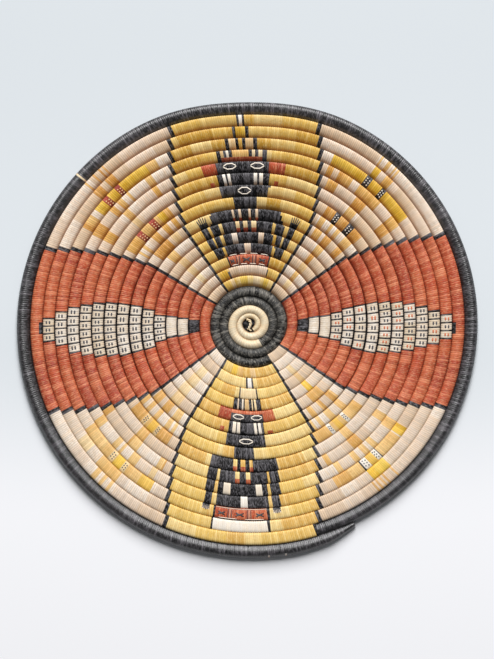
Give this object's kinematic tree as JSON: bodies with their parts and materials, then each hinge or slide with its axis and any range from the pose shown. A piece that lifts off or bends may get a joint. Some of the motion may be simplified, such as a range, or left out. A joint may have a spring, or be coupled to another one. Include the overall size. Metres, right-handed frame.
{
  "type": "coiled basketry plaque",
  "caption": "Round flat coiled basketry plaque, a spiral grass bundle sewn with dyed splints in a pattern of figures, corn ears and stepped panels.",
  "frame": {"origin": "the foot of the start knot, at the centre of the coil on the plaque's back", "axes": "+Z out of the sewn face, +Y towards the top figure as in the picture, +X towards the right corn ear"},
  "size_m": [0.4015, 0.3936, 0.0102],
  "materials": {
    "grass": "dry grass stems, bundled",
    "natural_splint": "undyed leaf splints, satin",
    "black_splint": "black dyed leaf splints with grey streaks, satin",
    "red_splint": "rust red dyed leaf splints, satin",
    "yellow_splint": "yellow dyed leaf splints, satin",
    "pale_splint": "pale leaf splints with ochre bars, satin",
    "corn_splint": "bleached leaf splints with black outlines, satin"
  },
  "bodies": {
    "root": {"grass_foundation": "grass", "start_knot": "natural_splint", "start_wrap": "natural_splint", "ring_wrap": "black_splint", "pale_panel_lower_right": "pale_splint", "red_wing_right": "red_splint", "pale_panel_upper_right": "pale_splint", "yellow_panel_top": "yellow_splint", "pale_panel_upper_left": "pale_splint", "red_wing_left": "red_splint", "pale_panel_lower_left": "pale_splint", "yellow_panel_bottom": "yellow_splint", "corn_ear_right": "corn_splint", "corn_ear_left": "corn_splint", "figure_top": "black_splint", "figure_bottom": "black_splint", "rim_wrap": "black_splint"}
  },
  "joints": []
}
